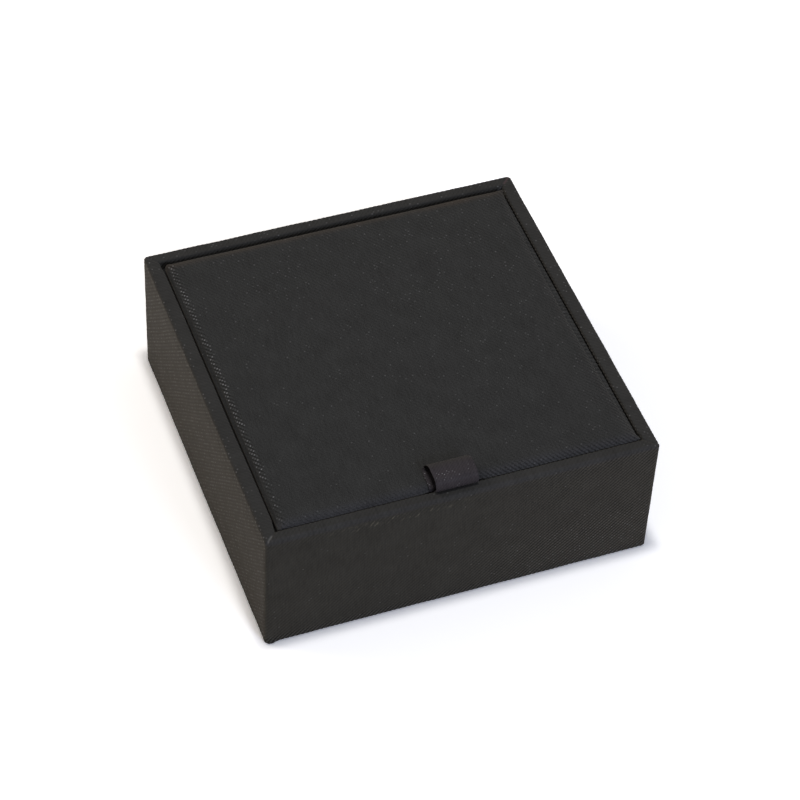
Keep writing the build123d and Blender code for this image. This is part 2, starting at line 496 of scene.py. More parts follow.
def weld(mesh):
    """Merges the points that rows share, and sets smooth shading up to folds of 50 degrees."""
    work = bmesh.new()
    work.from_mesh(mesh)
    bmesh.ops.remove_doubles(work, verts=work.verts, dist=0.002 * mm)
    bmesh.ops.dissolve_degenerate(work, edges=work.edges, dist=0.001 * mm)
    work.to_mesh(mesh)
    work.free()
    mesh.shade_smooth()
    mesh.set_sharp_from_angle(angle=math.radians(50))


def relief_tree():
    """The ribs of a weave as Geometry Nodes: each point sinks along its normal by how far it
    lies from the crest of a rib, times its own depth."""
    tree = bpy.data.node_groups.new("woven_ribs", "GeometryNodeTree")
    for name, way, kind in (
        ("Geometry", "INPUT", "NodeSocketGeometry"),
        ("Ribs per mm", "INPUT", "NodeSocketVector"),
        ("Relief", "INPUT", "NodeSocketFloat"),
        ("Material", "INPUT", "NodeSocketMaterial"),
        ("Geometry", "OUTPUT", "NodeSocketGeometry"),
    ):
        tree.interface.new_socket(name, in_out=way, socket_type=kind)
    start = add_node(tree, "NodeGroupInput").outputs
    thread = add_node(
        tree, "GeometryNodeInputNamedAttribute", {"Name": thread_map}, data_type="FLOAT_VECTOR"
    )
    part = add_node(tree, "ShaderNodeSeparateXYZ", {0: thread.outputs["Attribute"]})
    count = add_node(
        tree,
        "ShaderNodeVectorMath",
        {0: thread.outputs["Attribute"], 1: start["Ribs per mm"]},
        operation="DOT_PRODUCT",
    )
    turn = add_node(
        tree, "ShaderNodeMath", {0: count.outputs["Value"], 1: math.pi}, operation="MULTIPLY"
    )
    wave = add_node(tree, "ShaderNodeMath", {0: turn}, operation="COSINE")
    rib = add_node(tree, "ShaderNodeMath", {0: wave}, operation="ABSOLUTE")
    sunk = add_node(tree, "ShaderNodeMath", {0: rib, 1: 1.0}, operation="SUBTRACT")
    depth = add_node(
        tree, "ShaderNodeMath", {0: part.outputs["Z"], 1: start["Relief"]}, operation="MULTIPLY"
    )
    move = add_node(tree, "ShaderNodeMath", {0: sunk, 1: depth}, operation="MULTIPLY")
    normal = add_node(tree, "GeometryNodeInputNormal")
    offset = add_node(
        tree, "ShaderNodeVectorMath", {0: normal, "Scale": move}, operation="SCALE"
    )
    moved = add_node(
        tree, "GeometryNodeSetPosition", {"Geometry": start["Geometry"], "Offset": offset}
    )
    real = add_node(tree, "GeometryNodeRealizeInstances", {0: moved})
    finished = add_node(
        tree, "GeometryNodeSetMaterial", {"Geometry": real, "Material": start["Material"]}
    )
    add_node(tree, "NodeGroupOutput", {0: finished})
    return tree


woven_ribs = relief_tree()


def weave(piece, material, ribs, relief):
    """Raises the ribs on a piece with the tree above, and bakes the result into its mesh."""
    modifier = piece.modifiers.new("ribs", "NODES")
    modifier.node_group = woven_ribs
    sockets = {item.name: item.identifier for item in woven_ribs.interface.items_tree
               if item.in_out == "INPUT"}
    modifier[sockets["Ribs per mm"]] = (*ribs, 0.0)
    modifier[sockets["Relief"]] = relief * mm
    modifier[sockets["Material"]] = material
    graph = bpy.context.evaluated_depsgraph_get()
    mesh = bpy.data.meshes.new_from_object(piece.evaluated_get(graph))
    piece.modifiers.clear()
    old = piece.data
    piece.data = mesh
    bpy.data.meshes.remove(old)
    mesh.name = piece.name
    if not mesh.materials:
        mesh.materials.append(material)


def set_tone(piece, tone):
    """Stores each point's tone: the red, green and blue that multiply the colour of its cloth,
    painted light and painted shade among them, its share of floats with painted glints, and how
    clearly its ribs show."""
    mesh = piece.data
    values = [tone(*(vertex.co / mm)) for vertex in mesh.vertices]
    tones = mesh.attributes.new(tone_map, "FLOAT_COLOR", "POINT")
    tones.data.foreach_set("color", [part for value in values for part in (*value[:3], 1.0)])
    for number, name in ((3, glint_map), (4, clear_map)):
        layer = mesh.attributes.new(name, "FLOAT", "POINT")
        layer.data.foreach_set("value", [value[number] for value in values])


def plain_tone(x, y, z):
    """Cloth that is nowhere rubbed."""
    return 1.0, 1.0, 1.0, 0.02, 0.4


def add_tint(tint, share, colour):
    """A tint with a share of a colour added to it."""
    return [part + share * more for part, more in zip(tint, colour)]


def ring(right, front, back, radius, x_stations, y_stations, corner):
    """Round a rounded rectangle, from its back right corner: each point's place in plan, its
    outward direction, and the side and the distance along it that it belongs to."""
    sides = (
        ((right, back), (0, 1), (-1, 0), 2 * right, 1 - x_stations[::-1]),
        ((-right, back), (-1, 0), (0, -1), back - front, 1 - y_stations[::-1]),
        ((-right, front), (0, -1), (1, 0), 2 * right, x_stations),
        ((right, front), (1, 0), (0, 1), back - front, y_stations),
    )
    places = []
    for number, (start, out, along, length, stations) in enumerate(sides):
        start, out, along = np.array(start, float), np.array(out), np.array(along)
        straight = length - 2 * radius
        for station in stations:
            place = start + along * (radius + straight * station)
            places.append((place, out, number, radius + straight * station))
        centre = start + along * (length - radius) - out * radius
        for k in range(1, corner):
            share = k / corner
            angle = math.pi / 2 * k / corner
            direction = out * math.cos(angle) + along * math.sin(angle)
            distance = length - radius + 2 * radius * share
            places.append((centre + radius * direction, direction, number, distance))
    return places


def stations_of(count):
    """Even stations from 0 to 1 along a side."""
    return np.linspace(0, 1, count + 1)


def arc(centre, radii, first, last, count):
    """Points of a profile on an arc: each is an inset, a height and the outward normal."""
    rows = []
    for angle in np.radians(np.linspace(first, last, count + 1)):
        inset = centre[0] + radii[0] * math.cos(angle)
        height = centre[1] + radii[1] * math.sin(angle)
        normal = np.array((math.cos(angle) / radii[0], math.sin(angle) / radii[1]))
        normal = normal / np.linalg.norm(normal)
        rows.append((inset, height, normal[0], normal[1]))
    return rows


def run(first, last, count, normal):
    """Points of a profile on a straight line, without its first point."""
    rows = []
    for share in np.linspace(0, 1, count + 1)[1:]:
        inset = first[0] + (last[0] - first[0]) * share
        height = first[1] + (last[1] - first[1]) * share
        rows.append((inset, height, *normal))
    return rows


def with_lengths(profile):
    """Adds to each point of a profile its distance along it from the first."""
    length = 0.0
    rows = []
    before = profile[0]
    for row in profile:
        length += math.hypot(row[0] - before[0], row[1] - before[1])
        rows.append((*row, length))
        before = row
    return rows


def under_layer(profile, thick):
    """The same profile on the other face of the cloth, run the other way."""
    rows = []
    for inset, height, out, up, length in reversed(profile):
        rows.append((inset - thick * out, height - thick * up, -out, -up, length))
    return rows


# Side cloth. In a profile the inset grows towards the middle of the box, so a normal that
# faces out of the box has a negative first part.
bottom_round = 0.4
foot_start = base_sheet_thick + bottom_round
inner_turn = wall - inner_rim_radius
# The ribs are modelled on the foot up to one height, and round the rim from another height
# outside to a third inside. Elsewhere they are drawn by the material.
foot_row = 3.0
rim_row = 30.6
inner_row = 32.2
side_profile = (
    [(turn_in, base_sheet_thick, 0.0, -1.0)]
    + run((turn_in, base_sheet_thick), (3.0, base_sheet_thick), 3, (0.0, -1.0))
    + run((3.0, base_sheet_thick), (bottom_round, base_sheet_thick), 3, (0.0, -1.0))[:-1]
    + arc((bottom_round, foot_start), (bottom_round, bottom_round), 270, 180, 4)
    + run((0.0, foot_start), (0.0, foot_row), 6, (-1.0, 0.0))
    + run((0.0, foot_row), (0.0, rim_row), 24, (-1.0, 0.0))
    + run((0.0, rim_row), (0.0, box_height - rim_radius), 8, (-1.0, 0.0))[:-1]
    + arc((rim_radius, box_height - rim_radius), (rim_radius, rim_radius), 180, 90, 6)
    + run((rim_radius, box_height), (inner_turn, box_height), 5, (0.0, 1.0))[:-1]
    + arc(
        (inner_turn, box_height - inner_rim_radius),
        (inner_rim_radius, inner_rim_radius),
        90,
        0,
        6,
    )
    + run((wall, box_height - inner_rim_radius), (wall, inner_row), 4, (1.0, 0.0))
    + run((wall, inner_row), (wall, inside_hem_z), 6, (1.0, 0.0))
)


def side_ring(inset, fine):
    """The ring of the box's cloth at an inset."""
    radius = max(corner_radius - inset, 0.1)
    half = box_half - inset
    times = fine_columns if fine else 1
    stations = stations_of(side_columns * times)
    return ring(half, -half, half, radius, stations, stations, corner_columns * times)


def wander(x, y, z):
    """How far the weave strays from straight, in millimetres."""
    return 0.55 * ripple(x, y, z, 16.0, 3.1) + 0.2 * ripple(x, y, z, 5.0, 7.7)


def side_cloth_point(place, out, height, normal, relief):
    """Lays one point of the side cloth: the board's unevenness, the mitred folds at the rim's
    corners and the turned edge at the foot."""
    x, y = place
    lump = 0.05 * ripple(x, y, height, 7.0, 1.3) + 0.03 * ripple(x, y, height, 2.5, 5.2)
    # A fold runs from corner to corner of the rim
    across = abs(abs(x) - abs(y)) / math.sqrt(2)
    if normal[1] > 0.3 and relief > 0:
        lump -= 0.16 * math.exp(-((across / 0.3) ** 2)) * smooth(normal[1], 0.3, 0.9)
    move = np.append(out * normal[0], normal[1]) * lump
    # The cloth's edge pokes out a little under the front left corner
    poke = math.exp(
        -(((x + 43.6) / 1.3) ** 2) - ((y + 45) / 1.2) ** 2 - ((height - 0.3) / 0.7) ** 2
    )
    # Inside the rim the cloth stands off a little into the side gaps
    loose = smooth(-abs(x), -42.7, -42.1) * smooth(height, 32.3, 33.0)
    loose *= smooth(-abs(y), -41.5, -38.0)
    bulge = 0.4 * loose if x < 0 else -0.25 * loose
    drop = 0.4 * loose * smooth(height, 33.3, 33.9) if x < 0 else 0.0
    point = np.array((x, y, height)) + move + np.array((0.0, -0.3, -0.16)) * poke
    return point + np.array((bulge, 0.0, -drop))


def make_side_cloth():
    """Black twill round the four sides, over the rim, down inside and turned in beneath."""
    skin = Skin()
    top_side = with_lengths(side_profile)
    rows = [(row, 1.0) for row in top_side]
    rows += [(row, 0.0) for row in under_layer(top_side, cloth)[::2]]
    joined = []
    for (inset, height, out, up, length), side in rows:
        upper = height > rim_row - 0.1 and (inset < wall - 0.01 or height > inner_row - 0.1)
        lower = height < foot_row + 0.1 and inset < corner_radius
        fine = side > 0 and (upper or lower)
        points = []
        threads = []
        for place, direction, number, distance in side_ring(inset, fine):
            # The ribs fade in over a millimetre, and are pressed flat on top of the rim
            edge = smooth(height, rim_row - 0.1, rim_row + 0.9)
            edge += smooth(-height, -foot_row - 0.1, -foot_row + 0.8)
            edge = min(edge, 1.0) * (1 - 0.7 * smooth(up, 0.5, 1.0))
            relief = edge * side if fine else 0.0
            point = side_cloth_point(place, direction, height, (-out, up), relief)
            stray = wander(*point)
            u = 2 * box_half * number + inset + distance + stray
            points.append(point)
            threads.append((u, length + stray * 0.4, relief))
        first = threads[0]
        threads.append((first[0] + 8 * box_half, first[1], first[2]))
        joined.append(skin.row(points, threads))
    skin.join_all(joined + joined[:1])
    return skin.build("side_cloth_twill")


side_cloth = make_side_cloth()
weave(side_cloth, side_twill, side_ribs, twill_relief)


# What the marks on the side cloth, and the light and shade painted on it, add to its tint
worn_pink = (1.4, 0.7, 0.8)
worn_grey = (1.9, 1.9, 1.9)
rubbed_yarn = (3.2, 3.0, 2.3)
front_painted_warm_light = (0.05, 0.05, 0.0)
front_painted_light_right = (0.15, 0.12, 0.1)
edge_painted_blue_light = (0.1, 0.1, 0.2)
# Painted light: the cloth down in the gaps round the lid, where shade falls, is drawn this much
# paler than the rest, to come out as light as in the photograph
gap_painted_lighter = 1.8


def front_marks_and_painted_light(x, z, on_top):
    """What the front adds to its tint, its painted glints and how clear its ribs are. A painted
    warm light makes it a little browner than the lid, more painted light makes it paler to the
    right, and its ribs show most there and at its foot."""
    right = smooth(x, -8.0, 38.0)
    low = smooth(-z, -22.0, -5.0)
    clear = 0.1 + 0.14 * low + right * (0.55 + 0.6 * low)
    clear = max(clear, 1.2 * smooth(-z, -3.0, -1.4))
    glint = 0.015 + 0.02 * low + 0.25 * right * low
    # Rubbed yarns under the rim: short thin lines that slant as the ribs do
    rubbed = smooth(ripple((x - z) / 0.42, (x + z) / 2.4, 0.0, 1.0, 9.1), 0.25, 0.55)
    rubbed *= smooth(z, 30.6, 31.4) * (1 - smooth(z, 32.3, 33.0))
    rubbed *= math.exp(-(((x + 15) / 11) ** 2))
    # Painted warm light over the whole front, and more painted light towards its right
    more = add_tint(front_painted_warm_light, smooth(x, -20.0, 38.0) * (1 - on_top), front_painted_light_right)
    return add_tint(more, rubbed, rubbed_yarn), glint, clear


def side_tone(x, y, z):
    """The box's cloth: rubbed folds at two corners, the front's own marks and painted light,
    painted glints on the left side, which has painted shade towards its front and its foot,
    painted blue light on the front rim's outer edge, and painted light on the cloth inside the
    gaps, where shade falls."""
    tint = (1.0, 1.0, 1.0)
    glint, clear = 0.03, 0.4
    on_top = smooth(z, 33.2, 33.8)
    fold = math.exp(-((abs(abs(x) - abs(y)) / 0.3) ** 2)) if z > 33.5 else 0.0
    if x > 42.5 and y > 42.5:
        tint = add_tint(tint, fold, worn_pink)
    if x < -43.0 and y < -43.0:
        tint = add_tint(tint, fold * (1 - smooth(-x, 44.2, 44.5)), worn_grey)
    if y < -44.4:
        more, glint, clear = front_marks_and_painted_light(x, z, on_top)
        tint = add_tint(tint, 1.0, more)
    elif x < -44.2:
        # Painted light and shade on the left side: many floats with painted glints, and a painted
        # shade that darkens it towards its front and its foot
        along = smooth(y, -40.0, 30.0)
        low = smooth(-z, -24.0, -6.0)
        glint = 0.5 - (0.1 + 0.14 * smooth(z, 33.8, 34.0)) * on_top
        shade = 1 - (0.38 - 0.25 * along + 0.2 * low) * (1 - on_top)
        tint = [part * shade for part in tint]
    clear += (0.1 - clear) * on_top
    # Painted glints along the top of the right and back rims
    if max(x, y) > 40.0:
        glint += 0.12 * on_top
    # Painted blue light along the front rim's outer edge
    if y < -43.6:
        edge = smooth(z, 32.9, 33.3) * smooth(-y, 43.9, 44.3)
        tint = add_tint(tint, edge, edge_painted_blue_light)
    # Painted light on the cloth down in the gaps, where shade falls
    gap_top = 33.0 if x < -40.0 else 33.6
    if max(abs(x), abs(y)) < opening_half + 0.3 and z < gap_top:
        tint = (gap_painted_lighter, gap_painted_lighter, gap_painted_lighter)
    return (*tint, glint, clear)


set_tone(side_cloth, side_tone)
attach(side_cloth, "box")
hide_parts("side_cloth")


# Lid


# The radius of the sphere that the lid's top is a part of
lid_sphere = (lid_half ** 2 + lid_crown ** 2) / (2 * lid_crown)
lid_middle = (lid_front + lid_back) / 2
lid_edge_across = 2.4
lid_edge_down = 1.0
lid_step = 0.3
lid_corner = 0.6
lid_foot_round = 0.4
# The modelled ribs begin at this height, and fade in up to the next
lid_ribs_low = 32.3
lid_ribs_full = 33.0
# How far the middle of each padded edge is drawn in, and how far the back's bulges out
front_drawn_in = 0.1
left_drawn_in = 0.4
right_drawn_in = 1.05
back_bulge = 0.3
# Two more bulges along the back: where the middle of each is, its width and its depth
more_bulges = ((33.0, 10.0, 0.4), (-36.0, 7.0, 0.3))
# How far the front is pressed in behind the ribbon
ribbon_dent = 0.5
# Each ear's corner, and how far it is drawn out along x and y
lid_ears = (
    (-lid_half, lid_front, 0.1, -0.95),
    (lid_half, lid_front, 1.4, -0.7),
    (-lid_half, lid_back, 0.1, 0.6),
    (lid_half, lid_back, 1.2, 0.6),
)
ear_height = 34.35
ear_reach = 1.3
# Rings go round the lid's edge as far in as this, and a grid fills the rest
lid_grid_inset = 5.6
# The middle of the ribbon's loop
ribbon_x = -1.5


def lid_height(x, y):
    """The height of the padded lid's top."""
    fall = (x ** 2 + (y - lid_middle) ** 2) / (2 * lid_sphere)
    return lid_top - fall


def lid_place(x, y, inset, height, ear_share=1.0):
    """Draws the padded front and sides in between the lid's corners, and the front further in
    behind the ribbon. The back bulges, and the corners are drawn out into small ears."""
    near = max(1 - inset / 9.0, 0.0)
    padded = near * smooth(height, lid_board_top, lid_board_top + 0.35)
    along_x = 1 - (x / lid_half) ** 2
    along_y = 1 - ((y - lid_middle) / (lid_half + 0.1)) ** 2
    wave = 0.08 * ripple(x, y, 0, 14.0, 4.4)
    if y < lid_front + inset + 0.7:
        y += (front_drawn_in + wave) * padded * along_x
        y += ribbon_dent * near * (1 - smooth(abs(x - ribbon_x), 5.2, 7.6))
    if y > lid_back - inset - 0.7:
        for middle, width, depth in more_bulges:
            y += padded * depth * math.exp(-(((x - middle) / width) ** 2))
        y += padded * (back_bulge + wave) * along_x
    if x < inset + 0.7 - lid_half:
        x += (left_drawn_in + wave) * padded * along_y
    if x > lid_half - inset - 0.7:
        x -= (right_drawn_in + wave) * padded * along_y
    lip = ear_share * math.exp(-(((height - ear_height) / 0.45) ** 2))
    for ear_x, ear_y, move_x, move_y in lid_ears:
        reach = math.exp(-math.hypot(x - ear_x, y - ear_y) / ear_reach) * lip
        x += move_x * reach
        y += move_y * reach
    return x, y


def lid_profile():
    """The lid cloth's profile: from its hem below, out, up the board's edge, in a little where
    the padding begins, and over its rounded edge."""
    side_low = ledge_z + lid_foot_round
    side_top = lid_top - lid_edge_down
    return (
        [(turn_in, ledge_z, 0.0, -1.0)]
        + run((turn_in, ledge_z), (lid_foot_round, ledge_z), 5, (0.0, -1.0))[:-1]
        + arc((lid_foot_round, side_low), (lid_foot_round, lid_foot_round), 270, 180, 3)
        + run((0.0, side_low), (0.0, lid_board_top), 4, (-1.0, 0.0))
        + [(0.08, lid_board_top + 0.1, -0.9, 0.4), (0.22, lid_board_top + 0.22, -0.9, 0.4)]
        + arc(
            (lid_edge_across, side_top),
            (lid_edge_across - lid_step, lid_edge_down),
            180,
            90,
            9,
        )
        + run((lid_edge_across, lid_top), (lid_grid_inset, lid_top), 9, (0.0, 1.0))
    )


def lid_ring(inset, fine):
    """The ring of the lid's cloth at an inset."""
    times = fine_columns if fine else 1
    stations = stations_of(side_columns * times)
    radius = max(lid_corner - inset, 0.0)
    return ring(
        lid_half - inset,
        lid_front + inset,
        lid_back - inset,
        radius,
        stations,
        stations,
        corner_columns * times,
    )


def under_ribbon(x, y):
    """1 where the ribbon's tail lies under the lid's edge, and the cloth is pressed thin."""
    beside = 1 - smooth(abs(x + 2.0), 5.0, 6.0)
    return beside * (1 - smooth(y, -30.5, -29.5))


def lid_outer_skin(profile, below, is_fine):
    """The outer face of a skin over the lid, which follows the profile. Its middle lies as far
    below the lid's top as given."""
    skin = Skin()
    outer = with_lengths(profile)
    inset_last = outer[-1][0]
    rows = []
    for inset, height, _, _, length in outer:
        fine = is_fine(height, inset)
        spread = outer[-1][4] - length - (inset_last - inset)
        points = []
        threads = []
        for place, direction, *_ in lid_ring(inset, fine):
            x, y = lid_place(place[0], place[1], inset, height)
            z = height - smooth(height, lid_board_top + 0.02, 34.6) * (lid_top - lid_height(x, y))
            if height < ledge_z + 0.1:
                z += 0.22 * under_ribbon(x, y)
            flat = place + direction * spread
            stray = wander(x, y, z)
            relief = 0.0
            if fine:
                relief = smooth(height, lid_ribs_low, lid_ribs_full) * smooth(-inset, -5.4, -4.0)
            # The ribs lie flatter to the left, where the cloth is pulled tighter
            relief *= 0.35 + 0.3 * smooth(x, -5.0, 10.0)
            points.append((x, y, z))
            threads.append((flat[0] + stray, flat[1] + 0.4 * stray, relief))
        rows.append(skin.row(points, threads + threads[:1]))
    skin.join_all(rows)
    add_lid_grid(skin, inset_last, lambda x, y: lid_height(x, y) - below, True)
    return skin, rows, outer


def make_lid_cloth():
    """Black twill over the lid's padding, down its sides and turned in beneath."""
    def has_ribs(height, inset):
        return height > lid_ribs_low - 0.1 and inset < lid_grid_inset - 0.2

    skin, rows, outer = lid_outer_skin(lid_profile(), 0.0, has_ribs)
    rows_below = []
    for inset, height, *_ in under_layer(outer, cloth)[::2]:
        points = []
        threads = []
        for place, *_ in lid_ring(inset, False):
            x, y = lid_place(place[0], place[1], inset, height, 0.0)
            fall = smooth(height, lid_board_top, 34.2) * (lid_top - lid_height(x, y))
            points.append((x, y, height - fall))
            threads.append((x, y, 0.0))
        rows_below.append(skin.row(points, threads + threads[:1]))
    skin.join_all(rows_below + rows[:1])
    add_lid_grid(skin, lid_grid_inset, lambda x, y: lid_height(x, y) - cloth, False)
    return skin.build("lid_cloth_twill")


def add_lid_grid(skin, inset, surface, upward):
    """The middle of the lid, which joins the innermost ring and lies on a surface."""
    rows = []
    width = 2 * (lid_half - inset)
    depth = lid_back - lid_front - 2 * inset
    for station_y in stations_of(side_columns):
        points = []
        threads = []
        for station_x in stations_of(side_columns):
            flat_x = -lid_half + inset + width * station_x
            flat_y = lid_front + inset + depth * station_y
            edge_x, edge_y = lid_place(flat_x, flat_y, inset, lid_top)
            inside = min(station_x, 1 - station_x, station_y, 1 - station_y)
            near = smooth(-inside, -0.12, 0.0)
            x = flat_x + (edge_x - flat_x) * near
            y = flat_y + (edge_y - flat_y) * near
            z = surface(x, y)
            if upward:
                z -= 0.04 * smooth(inside, 0.0, 0.1) * (1 + ripple(x, y, 0, 11.0, 2.2))
            stray = wander(x, y, z)
            points.append((x, y, z))
            threads.append((flat_x + stray, flat_y + 0.4 * stray, 0.0))
        rows.append(skin.row(points, threads + threads[-1:])[:-1])
    skin.grid(rows, upward)


lid_cloth = make_lid_cloth()
weave(lid_cloth, lid_twill, lid_ribs, twill_relief)


# The lid's tint, and what the painted warm reflection along its back edge and the painted light on
# its front edge add
lid_tint = (1.02, 1.02, 1.02)
back_painted_warm_reflection = (0.35, 0.12, -0.02)
front_painted_blue_light = (0.18, 0.16, 0.24)


def lid_tone(x, y, z):
    """The lid's back edge has a painted warm, brownish reflection, and its front edge painted
    pale, bluish light. Its left edge has painted glints, and a painted shade darkens the cloth
    just below them. All round, where it goes down into the gaps, it has painted light. Its ribs
    show most along its edges and least to the front left."""
    back = smooth(y, 37.8, 39.6) * (0.7 + 0.5 * ripple(x, y, z, 6.0, 8.0))
    away = smooth(y + x, -60.0, 25.0)
    left = math.exp(-(((x + 39.85) / 0.7) ** 2)) * smooth(z, 33.9, 34.3)
    left *= 0.6 + 0.4 * smooth(y, -35.0, -15.0)
    front = 1 - smooth(y, -41.2, -39.0)
    right = smooth(x, 37.0, 39.5)
    glint = max(0.02 + 0.07 * away, 0.95 * left)
    front_clear = (0.2 + 0.25 * smooth(x, -5.0, 10.0)) * front
    clear = max(0.07 + 0.08 * away, 0.7 * left, front_clear, 0.35 * right)
    tint = add_tint(add_tint(lid_tint, back, back_painted_warm_reflection), front, front_painted_blue_light)
    # Painted shade on the cloth just below the left edge's glints
    if x < -38.0 and abs(y) < 40.0:
        shade = 1 - 0.3 * smooth(z, 33.3, 33.6) * (1 - smooth(z, 33.8, 34.15))
        tint = [part * shade for part in tint]
    # Painted light where the cloth goes down into the gaps, as on the box's cloth
    if z < 33.5:
        tint = [part * gap_painted_lighter for part in tint]
    return (*tint, glint, clear)


set_tone(lid_cloth, lid_tone)
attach(lid_cloth, "lid")
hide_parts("lid_cloth")


# Ribbon pull: one length of ribbon. It comes from under the lid up the front gap, back along
# the lid, over itself and forward, and down into the gap again. Each place is y, z and how
# far it has strayed to the side.
ribbon_half_width = 4.85
ribbon_thick = 0.18
ribbon_selvedge = 0.05
ribbon_columns = 48
ribbon_route = (
    (-30.0, 31.6, -0.9),
    (-36.0, 31.6, -0.9),
    (-40.6, 31.6, -0.9),
    (-41.3, 31.85, -0.9),
    (-41.42, 32.6, -0.9),
    (-41.42, 33.5, -0.9),
    (-41.3, 34.3, -0.95),
    (-40.6, 34.85, -1.0),
    (-39.6, 35.02, -1.0),
    (-38.2, 35.05, -1.0),
    (-37.1, 35.2, -0.9),
    (-36.55, 35.7, -0.7),
    (-36.6, 36.4, -0.4),
    (-37.1, 37.0, -0.2),
    (-38.0, 37.35, 0.0),
    (-39.3, 37.45, 0.0),
    (-40.7, 37.45, 0.0),
    (-41.8, 37.3, 0.0),
    (-42.6, 36.6, 0.0),
    (-42.95, 35.6, 0.0),
    (-42.95, 34.8, 0.0),
    (-42.55, 34.35, 0.0),
    (-42.0, 33.95, 0.0),
    (-41.74, 33.3, 0.0),
    (-41.7, 32.5, 0.0),
    (-41.7, 31.8, 0.0),
)


def smooth_route(places, step):
    """Even points on the smooth curve that passes through the places, with the direction it
    runs in and its length at each."""
    places = np.array(places, float)
    padded = np.vstack((2 * places[0] - places[1], places, 2 * places[-1] - places[-2]))
    dense = []
    for before, a, b, after in zip(padded, padded[1:], padded[2:], padded[3:]):
        for t in np.linspace(0, 1, 24, endpoint=False):
            dense.append(
                0.5 * (
                    2 * a
                    + (b - before) * t
                    + (2 * before - 5 * a + 4 * b - after) * t ** 2
                    + (3 * a - before - 3 * b + after) * t ** 3
                )
            )
    dense.append(places[-1])
    dense = np.array(dense)
    lengths = np.append(0, np.cumsum(np.linalg.norm(np.diff(dense, axis=0), axis=1)))
    even = np.linspace(0, lengths[-1], int(lengths[-1] / step) + 1)
    route = np.stack([np.interp(even, lengths, column) for column in dense.T], axis=1)
    heading = np.gradient(route[:, :2], axis=0)
    heading /= np.linalg.norm(heading, axis=1)[:, None]
    return route, heading, even


def make_ribbon():
    """The ribbon, with its woven edges a little thicker and its loop a little uneven."""
    skin = Skin()
    route, heading, lengths = smooth_route(ribbon_route, 0.16)
    across = np.linspace(-1, 1, ribbon_columns + 1)
    rows = []
    for (y, z, stray), (along_y, along_z), length in zip(route, heading, lengths):
        normal = (along_z, -along_y)
        points = []
        threads = []
        for face, shares in ((1, across), (-1, across[::-1])):
            for share in shares:
                x = ribbon_x + stray + ribbon_half_width * share
                edge = smooth(abs(share), 0.93, 0.98) * (1 - smooth(abs(share), 0.985, 1.02))
                lift = face * (ribbon_thick / 2 * (1 - smooth(abs(share), 0.97, 1.03)))
                lift += face * ribbon_selvedge * edge / 2
                lift += 0.05 * ripple(x, y, z, 4.0, 6.6) * smooth(z, 35.3, 36.5)
                points.append((x, y + normal[0] * lift, z + normal[1] * lift))
                threads.append((x, length, 1.0 if abs(share) < 0.92 else 0.0))
        threads.append(threads[0])
        rows.append(skin.row(points, threads))
    for before, after in zip(rows, rows[1:]):
        skin.join(after, before)
    skin.corners.append(rows[0][:-1])
    skin.corners.append(rows[-1][:-1][::-1])
    return skin.build("ribbon_pull")


ribbon = make_ribbon()
weave(ribbon, ribbon_weave, ribbon_ribs, ribbon_relief)


def ribbon_tone(x, y, z):
    """The ribbon has painted glints in a band towards its front left and along its lower ply's
    edge, and that ply, under the loop, is drawn darker as painted shade."""
    band = math.exp(-(((y + 41.3) / 1.1) ** 2) - ((x + 3.8) / 2.6) ** 2)
    lower = smooth(z, 34.6, 34.9) * (1 - smooth(z, 36.2, 36.8)) * smooth(y, -42.3, -41.8)
    edge = lower * (1 - smooth(x, -6.9, -6.4))
    glint = max(0.05, 0.5 * band * (1 - lower), 0.6 * edge)
    # Painted shade on the lower ply under the loop
    shade = 1 - 0.55 * lower * (1 - edge)
    fold = smooth(y, -39.5, -37.3) * (1 - lower)
    return shade, shade * (1 + 0.02 * fold), shade * (1 - 0.1 * fold), glint, 0.18


set_tone(ribbon, ribbon_tone)
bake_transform(ribbon)
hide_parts("pull_ribbon", "pull_ribbon_root")

# Cloth hinge: from behind the back ledge strip, up the wall, over the gap and down behind the
# lid. Each place is y and z.
hinge_half_length = 39.0
hinge_thick = 0.25
hinge_columns = 156
hinge_route = (
    (41.84, 25.6),
    (41.84, 29.0),
    (41.84, 31.8),
    (41.82, 32.4),
    (41.68, 32.85),
    (41.4, 33.0),
    (41.1, 32.9),
    (40.88, 32.6),
    (40.78, 32.2),
    (40.76, 31.7),
)


def make_hinge():
    """The hinge's cloth, a little slack along its length."""
    skin = Skin()
    route, heading, lengths = smooth_route(hinge_route, 0.3)
    across = np.linspace(-1, 1, hinge_columns + 1)
    rows = []
    for (y, z), (along_y, along_z), length in zip(route, heading, lengths):
        slack = smooth(z, 32.0, 32.8)
        points = []
        threads = []
        for face, shares in ((1, across), (-1, -across)):
            for share in shares:
                x = hinge_half_length * share
                sag = 0.12 * slack * (1 + ripple(x, y, z, 6.0, 2.8))
                lift = face * hinge_thick / 2
                points.append((x, y - along_z * lift, z + along_y * lift - sag))
                threads.append((x, length, 1.0))
        threads.append(threads[0])
        rows.append(skin.row(points, threads))
    skin.join_all(rows)
    skin.corners.append(rows[0][:-1][::-1])
    skin.corners.append(rows[-1][:-1])
    return skin.build("hinge_strip_twill")


hinge = make_hinge()
weave(hinge, side_twill, side_ribs, twill_relief)
# It lies in the back gap, so it gets painted light too, drawn paler to lift its shade as the cloth
# there is
hinge_painted_lighter = 1.6
set_tone(hinge, lambda x, y, z: (hinge_painted_lighter, hinge_painted_lighter, hinge_painted_lighter, 0.02, 0.4))
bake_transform(hinge)
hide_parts("hinge_cloth")


# Padded pieces and their covers


